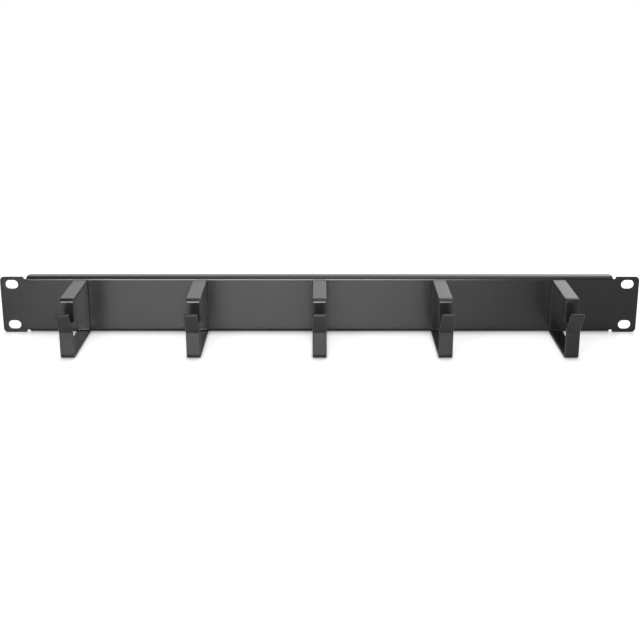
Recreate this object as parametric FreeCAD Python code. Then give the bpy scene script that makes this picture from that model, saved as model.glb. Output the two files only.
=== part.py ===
"""Horizontal cable manager, 19-inch rack, 1U.

A folded steel panel with slotted rack ears carries five open cable rings in a
row. Each ring is one flat steel strip, folded flat-on into a frame whose two
ends overlap at the front, so that cables are pressed in from above.

Frame: +X to the right along the panel, +Y into the rack, +Z up. The origin is
the centre of the four ear slots, on the rear face of the ears, which is the
face that seats on the rack's rails. The rings stand out towards -Y.
"""

import FreeCAD
import Part

import math
import os

V = FreeCAD.Vector

# ---------------------------------------------------------------- panel sheet
PANEL_WIDTH = 482.6            # 19-inch rack panel, over the ears
PANEL_HEIGHT = 43.6            # one rack unit, less the gap to its neighbours
SHEET = 1.5                    # panel sheet thickness
SHEET_BEND = 1.5               # inside radius of the panel's folds: the sheet's thickness
FLANGE_DEPTH = 8.5             # front face to the flange's free edge
FLANGE_CORNER = 2.5            # rounded back corners of the flanges

# ------------------------------------------------------------------ rack ears
EAR_WIDTH = 17.75              # flat ear, from its outer edge to the notch
EAR_CORNER = 3.0               # rounded outer corners
SLOT_INSET = 8.75              # slot centre to the panel's end: 465.1 between centres
SLOT_SPACING_Z = 31.75         # slot centres, top to bottom
SLOT_LENGTH = 9.5              # end to end, along X
SLOT_WIDTH = 6.8               # across, and the diameter of its round ends

# ------------------------------------------------- notches that free the folds
NOTCH_WIDTH = 2.2
NOTCH_DEPTH = 1.8              # below the ear's top edge, into the fold's curve

# ---------------------------------------------------------------- cable rings
RING_COUNT = 5
RING_INSET = 61.3              # outer rings' centres to the panel's ends: a 90 mm pitch
STRIP_WIDTH = 10.0
STRIP = 2.0                    # strip thickness
STRIP_BEND = 1.0               # inside radius of the four square folds: half the thickness
RING_HEIGHT = 42.0             # underside of the lower arm to the top arm's top
RING_DEPTH = 62.0              # panel face to the front of the lower upright
ENTRY_GAP = 6.0                # between the hanging leg and the lower upright
LEG_END = 24.5                 # lower end of the hanging leg, above the underside
FLARE_START = 20.0             # where the lip leans out, above the underside
FLARE_ANGLE = 35.0             # lean of the lip from upright, in degrees
FLARE_BEND = 2.0               # inside radius of the lip's bend
LIP_LENGTH = 19.5              # from the lip's bend to its free end
STRIP_CORNER = 1.2             # rounded corners of the strip's two ends

# ----------------------------------------------- spot welds, two to each ring
WELD_MARK = 5.0                # diameter of the electrode's mark
WELD_MARK_DEPTH = 0.15
WELD_EDGE = 11.0               # weld centre to the ring's underside or top

# ------------------------------------------------------------- worked out
REAR_FACE = 0.0
FRONT_FACE = REAR_FACE - SHEET
PANEL_TOP = PANEL_HEIGHT / 2
PANEL_BOTTOM = -PANEL_HEIGHT / 2
SHEET_OUTER_BEND = SHEET_BEND + SHEET
FOLDED_HALF = PANEL_WIDTH / 2 - EAR_WIDTH - NOTCH_WIDTH
RING_BASE = PANEL_BOTTOM       # the lower arms stand level with the panel


def ring_places():
    """X of each ring's centre, left to right, evenly spaced."""
    first = RING_INSET - PANEL_WIDTH / 2
    pitch = -2 * first / (RING_COUNT - 1)
    return [first + pitch * i for i in range(RING_COUNT)]


def box(x0, x1, y0, y1, z0, z1):
    return Part.makeBox(x1 - x0, y1 - y0, z1 - z0, V(x0, y0, z0))


def edges_along(shape, direction, keep):
    """Straight edges of a shape along a direction whose middle passes keep."""
    found = []
    for edge in shape.Edges:
        if edge.Curve.TypeId != "Part::GeomLine":
            continue
        way = edge.tangentAt(edge.FirstParameter)
        middle = (edge.Vertexes[0].Point + edge.Vertexes[-1].Point) * 0.5
        if abs(abs(way.dot(direction)) - 1) < 1e-6 and keep(middle):
            found.append(edge)
    return found


# ------------------------------------------------------------------- the panel
def face_plate():
    """The flat sheet between the two folds, with the full-height ears."""
    half_width = PANEL_WIDTH / 2
    tangent = PANEL_TOP - SHEET_OUTER_BEND
    plate = box(-FOLDED_HALF, FOLDED_HALF, FRONT_FACE, REAR_FACE, -tangent, tangent)
    for side in (-1, 1):
        inner, outer = sorted((side * FOLDED_HALF, side * half_width))
        ear = box(inner, outer, FRONT_FACE, REAR_FACE, PANEL_BOTTOM, PANEL_TOP)
        corners = edges_along(ear, V(0, 1, 0), lambda p: abs(p.x) > FOLDED_HALF + EAR_WIDTH / 2)
        plate = plate.fuse(ear.makeFillet(EAR_CORNER, corners))
    return plate


def upper_flange():
    """Upper fold and flange, as a section drawn in YZ and run along X."""
    bend_y = FRONT_FACE + SHEET_OUTER_BEND
    bend_z = PANEL_TOP - SHEET_OUTER_BEND
    back = FRONT_FACE + FLANGE_DEPTH
    under = PANEL_TOP - SHEET

    def on_bend(radius):
        slant = radius * math.sqrt(0.5)
        return V(-FOLDED_HALF, bend_y - slant, bend_z + slant)

    x = -FOLDED_HALF
    front_low = V(x, FRONT_FACE, bend_z)
    rear_low = V(x, REAR_FACE, bend_z)
    outer_end = V(x, bend_y, PANEL_TOP)
    inner_end = V(x, bend_y, under)
    back_top = V(x, back, PANEL_TOP)
    back_under = V(x, back, under)
    outline = Part.Wire([
        Part.Arc(front_low, on_bend(SHEET_OUTER_BEND), outer_end).toShape(),
        Part.makeLine(outer_end, back_top),
        Part.makeLine(back_top, back_under),
        Part.makeLine(back_under, inner_end),
        Part.Arc(inner_end, on_bend(SHEET_BEND), rear_low).toShape(),
        Part.makeLine(rear_low, front_low),
    ])
    flange = Part.Face(outline).extrude(V(2 * FOLDED_HALF, 0, 0))
    corners = edges_along(flange, V(0, 0, 1), lambda p: p.y > back - SHEET)
    return flange.makeFillet(FLANGE_CORNER, corners)


def ear_slot(x, z):
    """Cutter for one obround slot, lying along X."""
    radius = SLOT_WIDTH / 2
    reach = (SLOT_LENGTH - SLOT_WIDTH) / 2
    start = FRONT_FACE - SHEET
    length = 3 * SHEET
    cutter = box(x - reach, x + reach, start, start + length, z - radius, z + radius)
    for end in (-1, 1):
        round_end = Part.makeCylinder(radius, length, V(x + end * reach, start, z), V(0, 1, 0))
        cutter = cutter.fuse(round_end)
    return cutter


def relief_notch(x_side, z_side):
    """Cutter for one round-bottomed notch between an ear and a flange."""
    radius = NOTCH_WIDTH / 2
    x = x_side * (FOLDED_HALF + radius)
    centre = PANEL_TOP - NOTCH_DEPTH + radius
    start = FRONT_FACE - SHEET
    length = 3 * SHEET
    z0, z1 = sorted((z_side * centre, z_side * (PANEL_TOP + SHEET)))
    mouth = box(x - radius, x + radius, start, start + length, z0, z1)
    bottom = Part.makeCylinder(radius, length, V(x, start, z_side * centre), V(0, 1, 0))
    return mouth.fuse(bottom)


def weld_marks():
    """Cutters for the electrode marks on the panel's rear, behind each ring."""
    heights = (RING_BASE + WELD_EDGE, RING_BASE + RING_HEIGHT - WELD_EDGE)
    start = REAR_FACE - WELD_MARK_DEPTH
    return [
        Part.makeCylinder(WELD_MARK / 2, SHEET, V(x, start, z), V(0, 1, 0))
        for x in ring_places()
        for z in heights
    ]


def front_panel():
    """One folded sheet: face, two ears, and a flange along top and bottom."""
    upper = upper_flange()
    lower = upper.mirror(V(0, 0, 0), V(0, 0, 1))
    panel = face_plate().fuse([upper, lower])
    cutters = weld_marks()
    for side in (-1, 1):
        for end in (-1, 1):
            cutters.append(ear_slot(side * (PANEL_WIDTH / 2 - SLOT_INSET), end * SLOT_SPACING_Z / 2))
            cutters.append(relief_notch(side, end))
    return panel.cut(cutters).removeSplitter()


# ------------------------------------------------------------------- the rings
def rounded_path(points, radii):
    """Straight runs through the points, joined by tangent arcs of the radii."""
    edges = []
    start = points[0]
    for before, corner, after, radius in zip(points, points[1:], points[2:], radii):
        into = (corner - before).normalize()
        out = (after - corner).normalize()
        turn = into.getAngle(out)
        setback = radius * math.tan(turn / 2)
        arc_start = corner - into * setback
        arc_end = corner + out * setback
        bisector = (out - into).normalize()
        middle = corner + bisector * (radius / math.cos(turn / 2) - radius)
        edges.append(Part.makeLine(start, arc_start))
        edges.append(Part.Arc(arc_start, middle, arc_end).toShape())
        start = arc_end
    edges.append(Part.makeLine(start, points[-1]))
    return Part.Wire(edges)


def ring_path():
    """Middle line of the strip in YZ, from the hanging leg to the lip's end."""
    half = STRIP / 2
    back = FRONT_FACE - half
    low = RING_BASE + half
    top = RING_BASE + RING_HEIGHT - half
    upright = FRONT_FACE - RING_DEPTH + half
    leg = upright + STRIP + ENTRY_GAP
    lean = math.radians(FLARE_ANGLE)
    flare = RING_BASE + FLARE_START
    points = [
        V(0, leg, RING_BASE + LEG_END),
        V(0, leg, top),
        V(0, back, top),
        V(0, back, low),
        V(0, upright, low),
        V(0, upright, flare),
        V(0, upright - LIP_LENGTH * math.sin(lean), flare + LIP_LENGTH * math.cos(lean)),
    ]
    square = STRIP_BEND + half
    return rounded_path(points, [square] * 4 + [FLARE_BEND + half])


def cable_ring():
    """One strip folded round the middle line, as it lies at X = 0."""
    path = ring_path()
    half_x = STRIP_WIDTH / 2
    half_y = STRIP / 2
    start = path.Edges[0].Vertexes[0].Point
    section = Part.makePolygon([
        V(-half_x, start.y - half_y, start.z),
        V(half_x, start.y - half_y, start.z),
        V(half_x, start.y + half_y, start.z),
        V(-half_x, start.y + half_y, start.z),
        V(-half_x, start.y - half_y, start.z),
    ])
    strip = path.makePipeShell([section], True, False)
    ends = (path.Vertexes[0].Point, path.Vertexes[-1].Point)

    def across_an_end(edge):
        middle = edge.CenterOfMass
        middle.x = 0
        return any(middle.isEqual(end, STRIP / 10) for end in ends)

    corners = [edge for edge in strip.Edges if across_an_end(edge) and edge.Length < 2 * STRIP]
    return strip.makeFillet(STRIP_CORNER, corners).removeSplitter()


# ------------------------------------------------------------------ write them
def build():
    nodes = {"front_panel": front_panel()}
    ring = cable_ring()
    for number, x in enumerate(ring_places(), start=1):
        placed = ring.copy()
        placed.translate(V(x, 0, 0))
        nodes["cable_ring_%d" % number] = placed
    return nodes


os.makedirs("parts", exist_ok=True)
for name, shape in build().items():
    shape.exportStep("parts/%s.step" % name)
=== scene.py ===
import math

import bmesh
import bpy
from mathutils import Matrix, Vector


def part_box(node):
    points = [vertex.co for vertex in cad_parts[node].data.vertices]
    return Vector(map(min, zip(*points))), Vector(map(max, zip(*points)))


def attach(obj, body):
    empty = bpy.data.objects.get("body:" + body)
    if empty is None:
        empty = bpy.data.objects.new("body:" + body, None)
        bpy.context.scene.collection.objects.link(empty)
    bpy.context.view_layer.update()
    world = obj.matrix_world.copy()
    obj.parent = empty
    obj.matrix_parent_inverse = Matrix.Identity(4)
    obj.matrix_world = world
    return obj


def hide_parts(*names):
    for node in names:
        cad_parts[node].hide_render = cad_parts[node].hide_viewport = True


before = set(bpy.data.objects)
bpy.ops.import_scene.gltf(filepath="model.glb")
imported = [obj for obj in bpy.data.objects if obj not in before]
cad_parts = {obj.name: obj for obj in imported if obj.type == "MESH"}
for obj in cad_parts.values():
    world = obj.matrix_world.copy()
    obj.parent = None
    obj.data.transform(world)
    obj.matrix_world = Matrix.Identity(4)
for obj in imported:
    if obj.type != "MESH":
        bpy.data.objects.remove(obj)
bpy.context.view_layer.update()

# ---------------------------------------------------------------- front panel
# The panel is one blank of 1.5 mm cold-rolled steel, punched with four rack slots
# and four relief notches, then folded back along its top and bottom edges. It is
# deburred, spot-welded to the five rings and powder-coated with them.
panel_low, panel_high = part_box("front_panel")
SHEET = 0.0015
FOLD_OUTSIDE = 0.0030            # outside radius of the two folds
FOLD_STEPS = 10
FLANGE_CORNER = 0.0025
EAR_WIDTH = 0.01775              # from the panel's end to the notch
EAR_CORNER = 0.0030
NOTCH_WIDTH = 0.0022
NOTCH_DEPTH = 0.0018
NOTCH_CORNER = 0.0010
SLOT_X, SLOT_Z = 0.23255, 0.015875       # slot centres, from the panel's middle
SLOT_LENGTH, SLOT_HEIGHT = 0.0095, 0.0068
SLOT_ROUND = SLOT_HEIGHT / 2 * 0.9999    # a hair under half, so that the ends stay apart
SLOT_STEPS = 8
WELD_HEIGHTS = (-0.0108, 0.0092)
WELD_RADIUS = 0.0025
WELD_SIDES = 24
WELD_DEPTH = 0.00015
RIM = 0.0006                     # border of narrow faces, which the edges' rounding needs
SHEET_EDGE = 0.00025             # edge radius that deburring and the coat leave
CORNER_STEPS = 6
EDGE_STEPS = 3
SAME_PLACE = 1e-6
FACE_UPRIGHT = Matrix.Rotation(math.pi / 2, 4, "X")

PANEL_TONE = 0.011
COAT_IOR = 1.55
COAT_ROUGHNESS = 0.24
PEEL_ROUGHNESS = 0.015           # changes of roughness, small so that the coat looks even
CLOUD_ROUGHNESS = 0.010
CLOUD_TONE = (0.90, 1.08)        # changes of tone, as factors
GRAIN_TONE = 0.10
GRAIN, PEEL, CLOUD = 1900, 420, 38       # noise scales: powder grain, orange peel, cloudiness
NOISE_LOW, NOISE_HIGH = 0.3, 0.7
GRAIN_RELIEF = 0.00002
PEEL_RELIEF = 0.00003
RELIEF_STRENGTH = 0.5

ring_names = sorted(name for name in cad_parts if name.startswith("cable_ring"))
ring_centres = [sum(corner.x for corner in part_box(name)) / 2 for name in ring_names]


def round_corners(bm, verts, radius, segments=CORNER_STEPS):
    """Rounds corners that lie in the plane of a flat face."""
    bmesh.ops.bevel(bm, geom=verts, offset=radius, offset_type="OFFSET", segments=segments,
                    profile=0.5, affect="VERTICES", material=-1, clamp_overlap=False)


def punch(bm, matrix, radius, segments):
    """Outline of a rectangle with rounded corners, for the fill to leave open."""
    corners = bmesh.ops.create_grid(bm, x_segments=1, y_segments=1, size=0.5,
                                    matrix=matrix)["verts"]
    before = set(bm.verts) - set(corners)
    round_corners(bm, corners, radius, segments)
    inside = dict.fromkeys(f for v in bm.verts if v not in before for f in v.link_faces)
    bmesh.ops.delete(bm, geom=list(inside), context="FACES_ONLY")


def sharp_edges(bm, degrees=30):
    """Edges where two faces meet at more than an angle."""
    return [e for e in bm.edges
            if e.is_manifold and e.calc_face_angle(0) > math.radians(degrees)]


def ease_edges(bm, edges, radius, segments=EDGE_STEPS):
    """Takes the sharpness off edges, as tumbling and a coat of powder do."""
    bmesh.ops.bevel(bm, geom=edges, offset=radius, offset_type="OFFSET", segments=segments,
                    profile=0.5, affect="EDGES", material=-1, clamp_overlap=False,
                    loop_slide=True)


def shown(bm, name, material):
    """A finished piece from a bmesh, smooth over its rounds and flat between them."""
    for face in bm.faces:
        face.smooth = True
    mesh = bpy.data.meshes.new(name)
    bm.to_mesh(mesh)
    bm.free()
    mesh.materials.append(material)
    piece = bpy.data.objects.new(name, mesh)
    bpy.context.scene.collection.objects.link(piece)
    shading = piece.modifiers.new("flat_faces", "WEIGHTED_NORMAL")
    shading.mode = "FACE_AREA"
    shading.weight = 100
    shading.keep_sharp = True
    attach(piece, "root")
    return piece


def powder_coat(name, tone, shift):
    """Black fine-texture powder coat: a grain under 1 mm over a faint orange peel."""
    material = bpy.data.materials.new(name)
    material.use_nodes = True
    nodes, links = material.node_tree.nodes, material.node_tree.links
    shader = nodes["Principled BSDF"]
    shader.inputs["IOR"].default_value = COAT_IOR
    place = nodes.new("ShaderNodeTexCoord")
    centre = nodes.new("ShaderNodeMapping")
    centre.inputs["Location"].default_value = shift
    links.new(place.outputs["Object"], centre.inputs["Vector"])

    def noise(scale, detail):
        texture = nodes.new("ShaderNodeTexNoise")
        texture.inputs["Scale"].default_value = scale
        texture.inputs["Detail"].default_value = detail
        links.new(centre.outputs["Vector"], texture.inputs["Vector"])
        return texture.outputs["Fac"]

    def spread(source, low, high):
        between = nodes.new("ShaderNodeMapRange")
        between.inputs["From Min"].default_value = NOISE_LOW
        between.inputs["From Max"].default_value = NOISE_HIGH
        between.inputs["To Min"].default_value = low
        between.inputs["To Max"].default_value = high
        links.new(source, between.inputs["Value"])
        return between.outputs["Result"]

    def added(first, second):
        total = nodes.new("ShaderNodeMath")
        total.operation = "ADD"
        links.new(first, total.inputs[0])
        links.new(second, total.inputs[1])
        return total.outputs["Value"]

    def relief(height, distance):
        bump = nodes.new("ShaderNodeBump")
        bump.inputs["Strength"].default_value = RELIEF_STRENGTH
        bump.inputs["Distance"].default_value = distance
        links.new(height, bump.inputs["Height"])
        return bump

    grain = noise(GRAIN, 2.0)
    peel = noise(PEEL, 1.0)
    cloud = noise(CLOUD, 3.0)

    colour = nodes.new("ShaderNodeVectorMath")
    colour.operation = "SCALE"
    colour.inputs[0].default_value = (tone, tone, tone)
    depth = added(spread(cloud, *CLOUD_TONE), spread(grain, -GRAIN_TONE, GRAIN_TONE))
    links.new(depth, colour.inputs["Scale"])
    links.new(colour.outputs["Vector"], shader.inputs["Base Color"])

    peel_roughness = spread(peel, COAT_ROUGHNESS - PEEL_ROUGHNESS, COAT_ROUGHNESS + PEEL_ROUGHNESS)
    cloud_roughness = spread(cloud, -CLOUD_ROUGHNESS, CLOUD_ROUGHNESS)
    links.new(added(peel_roughness, cloud_roughness), shader.inputs["Roughness"])

    orange_peel = relief(peel, PEEL_RELIEF)
    fine_grain = relief(grain, GRAIN_RELIEF)
    links.new(orange_peel.outputs["Normal"], fine_grain.inputs["Normal"])
    links.new(fine_grain.outputs["Normal"], shader.inputs["Normal"])
    return material


# The flat blank's outline: the upper right quarter from the fold to the end, mirrored.
ear_x = panel_high.x - EAR_WIDTH
fold_x = ear_x - NOTCH_WIDTH
crease_height = panel_high.z - FOLD_OUTSIDE
notch_height = panel_high.z - NOTCH_DEPTH
upper_right = [(fold_x, crease_height), (fold_x, notch_height), (ear_x, notch_height),
               (ear_x, panel_high.z), (panel_high.x, panel_high.z)]
right = upper_right + [(x, -z) for x, z in reversed(upper_right)]
outline = right + [(-x, z) for x, z in reversed(right)]
blank = bmesh.new()
corners = [blank.verts.new((x, panel_low.y, z)) for x, z in outline]
blank.faces.new(corners)
ear_ends = [v for v in corners if abs(abs(v.co.x) - panel_high.x) < SAME_PLACE]
notch_ends = [v for v in corners
              if abs(abs(v.co.x) - ear_x) < SAME_PLACE and abs(v.co.z) < panel_high.z - RIM]
round_corners(blank, ear_ends, EAR_CORNER)
round_corners(blank, notch_ends, NOTCH_CORNER)
bmesh.ops.delete(blank, geom=list(blank.faces), context="FACES_ONLY")

# The rack slots are left open by the fill, and the weld marks are circles in it.
for side in (-1, 1):
    for end in (-1, 1):
        slot_centre = Matrix.Translation((side * SLOT_X, panel_low.y, end * SLOT_Z))
        slot_size = Matrix.Diagonal((SLOT_LENGTH, SLOT_HEIGHT, 1, 1))
        punch(blank, slot_centre @ FACE_UPRIGHT @ slot_size, SLOT_ROUND, SLOT_STEPS)
weld_centres = [Vector((x, panel_low.y, z)) for x in ring_centres for z in WELD_HEIGHTS]
for centre in weld_centres:
    bmesh.ops.create_circle(blank, cap_ends=False, radius=WELD_RADIUS, segments=WELD_SIDES,
                            matrix=Matrix.Translation(centre) @ FACE_UPRIGHT)
bmesh.ops.remove_doubles(blank, verts=list(blank.verts), dist=SAME_PLACE)
bmesh.ops.triangle_fill(blank, use_beauty=True, use_dissolve=False, edges=list(blank.edges))

# The two folds, each with its flange.
for end in (-1, 1):
    crease_z = end * crease_height
    crease = [e for e in blank.edges if all(
        abs(v.co.z - crease_z) < SAME_PLACE and abs(v.co.x) < fold_x + SAME_PLACE
        for v in e.verts)]
    folded = bmesh.ops.spin(
        blank, geom=crease + [v for e in crease for v in e.verts],
        cent=(0, panel_low.y + FOLD_OUTSIDE, crease_z), axis=(1, 0, 0), dvec=(0, 0, 0),
        angle=-end * math.pi / 2, steps=FOLD_STEPS, use_merge=False,
        use_normal_flip=False, use_duplicate=False)
    fold_edge = [g for g in folded["geom_last"] if isinstance(g, bmesh.types.BMEdge)]
    flange = bmesh.ops.extrude_edge_only(blank, edges=fold_edge)
    flange_ends = [g for g in flange["geom"] if isinstance(g, bmesh.types.BMVert)]
    flange_run = panel_high.y - panel_low.y - FOLD_OUTSIDE
    bmesh.ops.translate(blank, verts=flange_ends, vec=(0, flange_run, 0))
    round_corners(blank, flange_ends, FLANGE_CORNER)
bmesh.ops.remove_doubles(blank, verts=list(blank.verts), dist=SAME_PLACE)

# The welds' discs are closed, and the sheet gets its thickness and its soft edges.
for centre in weld_centres:
    rim = [e for e in blank.edges if e.is_boundary and all(
        (v.co - centre).length < WELD_RADIUS + RIM for v in e.verts)]
    bmesh.ops.contextual_create(blank, geom=rim)
bmesh.ops.recalc_face_normals(blank, faces=list(blank.faces))
bmesh.ops.inset_region(blank, faces=list(blank.faces), thickness=RIM,
                       use_boundary=True, use_even_offset=True)
bmesh.ops.solidify(blank, geom=list(blank.faces), thickness=SHEET)
blank.normal_update()
marks = [f for f in blank.faces if len(f.verts) == WELD_SIDES and f.normal.y > 0.9]
bmesh.ops.inset_region(blank, faces=marks, thickness=WELD_DEPTH * 2, depth=-WELD_DEPTH,
                       use_boundary=True, use_even_offset=True)
blank.normal_update()
ease_edges(blank, sharp_edges(blank), SHEET_EDGE)
panel_coat = powder_coat("panel_powder_coat", PANEL_TONE, (0.1, 0.0, 0.0))
panel = shown(blank, "folded_panel", panel_coat)
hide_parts("front_panel")

# ----------------------------------------------------------------- cable rings
# Each ring is one 10 x 2 mm flat steel strip, folded four times square round a
# rectangle, then leaned outwards in a lip. Its back leg is spot-welded to the
# panel, and its hanging leg and lip leave a slot that cables are pressed through.
STRIP_WIDTH = 0.0100
STRIP = 0.0020
STRIP_FOLD = 0.0010              # inside radius of the four square folds
STRIP_FOLD_STEPS = 8
RING_DEPTH = 0.0620
RING_HEIGHT = 0.0420
LEG_END = 0.0245                 # hanging leg's end, above the underside
ENTRY_GAP = 0.0060
LIP_START = 0.0200               # lip's bend, above the underside
LIP_LEAN = math.radians(35)
LIP_FOLD = 0.0020                # inside radius of the lip's bend
LIP_FOLD_STEPS = 6
LIP_LENGTH = 0.0195
STRIP_CORNER = 0.0012
STRIP_EDGE = 0.0006
RING_TONE = 0.010


def run_on(bm, loop, heading, length):
    """Draws the strip on, straight ahead, from the four edges of its end."""
    grown = bmesh.ops.extrude_edge_only(bm, edges=loop)["geom"]
    ahead = [g for g in grown if isinstance(g, bmesh.types.BMVert)]
    bmesh.ops.translate(bm, verts=ahead, vec=heading * length)
    return [g for g in grown if isinstance(g, bmesh.types.BMEdge)]


def fold_on(bm, loop, heading, angle, inside, steps):
    """Folds the strip on from its end, about a line inside the fold."""
    verts = list(dict.fromkeys(v for e in loop for v in e.verts))
    middle = sum((v.co for v in verts), Vector()) / len(verts)
    inward = Vector((math.copysign(1, angle), 0, 0)).cross(heading)
    turned = bmesh.ops.spin(
        bm, geom=loop + verts, cent=middle + inward * (inside + STRIP / 2), axis=(1, 0, 0),
        dvec=(0, 0, 0), angle=angle, steps=steps, use_merge=False, use_normal_flip=False,
        use_duplicate=False)["geom_last"]
    loop = [g for g in turned if isinstance(g, bmesh.types.BMEdge)]
    return loop, Matrix.Rotation(angle, 3, "X") @ heading


def folded_strip():
    """The strip from its hanging leg's end to its lip, centred on X = 0."""
    back = panel_low.y - STRIP / 2
    front = panel_low.y - RING_DEPTH + STRIP / 2
    square = STRIP_FOLD + STRIP / 2
    lean = (LIP_FOLD + STRIP / 2) * math.tan(LIP_LEAN / 2)
    leg_y = front + STRIP + ENTRY_GAP
    leg_length = RING_HEIGHT - LEG_END
    leg_z = panel_low.z + RING_HEIGHT - leg_length
    strip = bmesh.new()
    section = (Matrix.Translation((0, leg_y, leg_z))
               @ Matrix.Diagonal((STRIP_WIDTH, STRIP, 1, 1)))
    bmesh.ops.create_grid(strip, x_segments=1, y_segments=1, size=0.5, matrix=section)
    loop, heading = list(strip.edges), Vector((0, 0, 1))
    for length in (
        leg_length - STRIP / 2 - square,
        back - leg_y - 2 * square,
        RING_HEIGHT - STRIP - 2 * square,
        back - front - 2 * square,
    ):
        loop = run_on(strip, loop, heading, length)
        loop, heading = fold_on(strip, loop, heading, -math.pi / 2, STRIP_FOLD,
                                STRIP_FOLD_STEPS)
    loop = run_on(strip, loop, heading, LIP_START - STRIP / 2 - square - lean)
    loop, heading = fold_on(strip, loop, heading, LIP_LEAN, LIP_FOLD, LIP_FOLD_STEPS)
    loop = run_on(strip, loop, heading, LIP_LENGTH - lean)
    lip_end = bmesh.ops.contextual_create(strip, geom=loop)["faces"]
    bmesh.ops.recalc_face_normals(strip, faces=list(strip.faces))
    leg_end = [f for f in strip.faces
               if f.normal.z < -0.99 and abs(f.calc_center_median().z - leg_z) < SAME_PLACE]
    end_corners = [e for f in lip_end + leg_end for e in f.edges
                   if e.calc_length() < 1.5 * STRIP]
    ease_edges(strip, end_corners, STRIP_CORNER, segments=CORNER_STEPS)
    ease_edges(strip, sharp_edges(strip), STRIP_EDGE)
    return strip


ring_coat = powder_coat("ring_powder_coat", RING_TONE, (0.0, 0.2, 0.0))
for name, x in zip(ring_names, ring_centres):
    strip = folded_strip()
    bmesh.ops.translate(strip, verts=list(strip.verts), vec=(x, 0, 0))
    ring = shown(strip, "folded_" + name, ring_coat)
    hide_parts(name)

# ----------------------------------------------------------------------- stage
# A white satin studio floor, which mirrors the soft box faintly into the part. It
# keeps the part's real shadow, and to the camera alone it adds a glow: weaker near
# the part, darkened by a painted shadow where the part stands, plain white farther off.
FLOOR_HALF = 4.0
FLOOR_DROP = 0.0001              # below the part, so that no faces share a plane
FLOOR_WHITE = (0.90, 0.90, 0.90, 1)
FLOOR_ROUGHNESS = 0.35
GLOW_NEAR, GLOW_FAR = 0.58, 1.0  # added for the camera alone, near the part and far off
GLOW_START, GLOW_END = 0.08, 0.30
GLOW_SQUASH = (0.3, 1.0, 1.0)    # the part is long, and so is the region near it
PAINTED_SHADOW_REACH = 0.010              # reach of the dark line where the part stands
floor_mesh = bpy.data.meshes.new("floor")
ground = bmesh.new()
bmesh.ops.create_grid(ground, x_segments=1, y_segments=1, size=FLOOR_HALF,
                      matrix=Matrix.Translation((0, 0, panel_low.z - FLOOR_DROP)))
ground.to_mesh(floor_mesh)
ground.free()
floor = bpy.data.objects.new("floor", floor_mesh)
bpy.context.scene.collection.objects.link(floor)

floor_white = bpy.data.materials.new("floor_white")
floor_white.use_nodes = True
nodes, links = floor_white.node_tree.nodes, floor_white.node_tree.links
satin = nodes["Principled BSDF"]
satin.inputs["Base Color"].default_value = FLOOR_WHITE
satin.inputs["Roughness"].default_value = FLOOR_ROUGHNESS
place = nodes.new("ShaderNodeTexCoord")
squash = nodes.new("ShaderNodeMapping")
squash.inputs["Scale"].default_value = GLOW_SQUASH
links.new(place.outputs["Object"], squash.inputs["Vector"])
away = nodes.new("ShaderNodeVectorMath")
away.operation = "LENGTH"
links.new(squash.outputs["Vector"], away.inputs[0])
far = nodes.new("ShaderNodeMapRange")
far.inputs["From Min"].default_value = GLOW_START
far.inputs["From Max"].default_value = GLOW_END
far.inputs["To Min"].default_value = GLOW_NEAR
far.inputs["To Max"].default_value = GLOW_FAR
links.new(away.outputs["Value"], far.inputs["Value"])
# Ambient occlusion darkens the camera's glow: a painted shadow where the part stands on the floor.
painted_foot_shadow = nodes.new("ShaderNodeAmbientOcclusion")
painted_foot_shadow.samples = 4
painted_foot_shadow.inputs["Distance"].default_value = PAINTED_SHADOW_REACH
glow_under_painted_shadow = nodes.new("ShaderNodeMath")
glow_under_painted_shadow.operation = "MULTIPLY"
links.new(far.outputs["Result"], glow_under_painted_shadow.inputs[0])
links.new(painted_foot_shadow.outputs["AO"], glow_under_painted_shadow.inputs[1])
path = nodes.new("ShaderNodeLightPath")
seen = nodes.new("ShaderNodeMath")
seen.operation = "MULTIPLY"
links.new(glow_under_painted_shadow.outputs["Value"], seen.inputs[0])
links.new(path.outputs["Is Camera Ray"], seen.inputs[1])
glow = nodes.new("ShaderNodeEmission")
links.new(seen.outputs["Value"], glow.inputs["Strength"])
both = nodes.new("ShaderNodeAddShader")
links.new(satin.outputs["BSDF"], both.inputs[0])
links.new(glow.outputs["Emission"], both.inputs[1])
links.new(both.outputs["Shader"], nodes["Material Output"].inputs["Surface"])
floor_mesh.materials.append(floor_white)

# ---------------------------------------------------------------------- lights
# A soft box in front, a little to the left and above, a weaker one overhead and
# behind, and a white room that shows in gloss: a backdrop, brighter to the right,
# and a bright strip of ceiling. On matt surfaces the room is only a weak fill.
MATT_FILL = 0.08
BACKDROP = (0.00, 0.26, 0.94, 1.55)      # from and to in X, strength there
CEILING_MIDDLE = 0.05                    # X of the strip of ceiling
CEILING = (0.02, 0.28, 1.70, 0.10)       # from and to on either side of it, strength there
CEILING_START = (1.05, 1.45, 0.0, 1.0)   # angle up from behind where the ceiling takes over
CEILING_SLANT = 1.3                      # how much later it does so to the right
CEILING_END = (2.00, 2.45, 1.0, 0.12)    # angle where it fades, over the camera
room = bpy.data.worlds.new("studio")
bpy.context.scene.world = room
room.use_nodes = True
nodes, links = room.node_tree.nodes, room.node_tree.links
back = nodes["Background"]
back.inputs["Color"].default_value = (1, 1, 1, 1)
direction = nodes.new("ShaderNodeTexCoord")
axes = nodes.new("ShaderNodeSeparateXYZ")
links.new(direction.outputs["Generated"], axes.inputs["Vector"])


def ramp(source, start, stop, low, high):
    """A soft change of strength between two stops of a direction or an angle."""
    node = nodes.new("ShaderNodeMapRange")
    node.interpolation_type = "SMOOTHSTEP"
    node.inputs["From Min"].default_value = start
    node.inputs["From Max"].default_value = stop
    node.inputs["To Min"].default_value = low
    node.inputs["To Max"].default_value = high
    links.new(source, node.inputs["Value"])
    return node.outputs["Result"]


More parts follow.
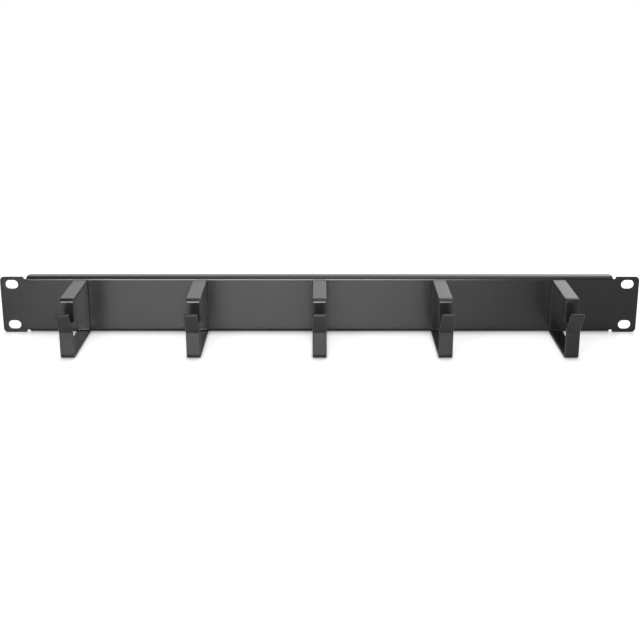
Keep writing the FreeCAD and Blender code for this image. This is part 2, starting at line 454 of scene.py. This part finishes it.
def combined(operation, *values):
    """One sum, product or other operation on sockets and plain numbers."""
    node = nodes.new("ShaderNodeMath")
    node.operation = operation
    for socket, value in zip(node.inputs, values):
        if isinstance(value, float):
            socket.default_value = value
        else:
            links.new(value, socket)
    return node.outputs["Value"]


turn = combined("ARCTAN2", axes.outputs["Z"], axes.outputs["Y"])
aside = combined("ABSOLUTE", combined("SUBTRACT", axes.outputs["X"], CEILING_MIDDLE))
slant = combined("MULTIPLY", axes.outputs["X"], CEILING_SLANT)
over = ramp(combined("SUBTRACT", turn, slant), *CEILING_START)
ahead = ramp(turn, *CEILING_END)
behind = combined("MULTIPLY", ramp(axes.outputs["X"], *BACKDROP),
                  combined("SUBTRACT", 1.0, over))
above = combined("MULTIPLY", combined("MULTIPLY", ramp(aside, *CEILING), over), ahead)
path = nodes.new("ShaderNodeLightPath")
gloss_light = combined("MULTIPLY", combined("ADD", behind, above),
                       path.outputs["Is Glossy Ray"])
matt_light = combined("MULTIPLY", MATT_FILL, path.outputs["Is Diffuse Ray"])
links.new(combined("ADD", combined("ADD", gloss_light, matt_light),
                   path.outputs["Is Camera Ray"]), back.inputs["Strength"])


def soft_box(name, place, aim, size, radiance):
    """An area lamp at a place, turned to face an aim."""
    lamp = bpy.data.lights.new(name, "AREA")
    lamp.shape = "RECTANGLE"
    lamp.size, lamp.size_y = size
    lamp.energy = radiance * math.pi * size[0] * size[1]
    holder = bpy.data.objects.new(name, lamp)
    bpy.context.scene.collection.objects.link(holder)
    holder.location = place
    heading = Vector(aim) - Vector(place)
    holder.rotation_euler = heading.to_track_quat("-Z", "Y").to_euler()
    holder.visible_camera = False
    return holder


soft_box("front_box", place=(-0.11, -0.86, 0.26), aim=(-0.05, 0, 0),
         size=(0.62, 0.30), radiance=14.0)
top_box = soft_box("top_box", place=(0.0, 0.14, 0.50), aim=(0.0, 0.0, 0.0),
                   size=(0.90, 0.30), radiance=1.55)
top_box.visible_glossy = False

# ---------------------------------------------------------------------- camera
# A 66 mm lens on a full-frame sensor, 0.89 m off and nearly 17 degrees above,
# aimed a little under the middle of the panel's face.
SENSOR = 36
LENS = 65.930625
DISTANCE = 0.890
ELEVATION = math.radians(16.7)
AIM_DROP = math.radians(0.752755)
CAMERA_X = 0.0003
lens = bpy.data.cameras.new("camera")
lens.sensor_width = SENSOR
lens.lens = LENS
lens.clip_end = 20
camera = bpy.data.objects.new("camera", lens)
bpy.context.scene.collection.objects.link(camera)
camera.location = (CAMERA_X, panel_low.y - DISTANCE * math.cos(ELEVATION),
                   DISTANCE * math.sin(ELEVATION))
camera.rotation_euler = (math.pi / 2 - ELEVATION - AIM_DROP, 0, 0)
bpy.context.scene.camera = camera
bpy.context.scene.view_settings.view_transform = "Standard"
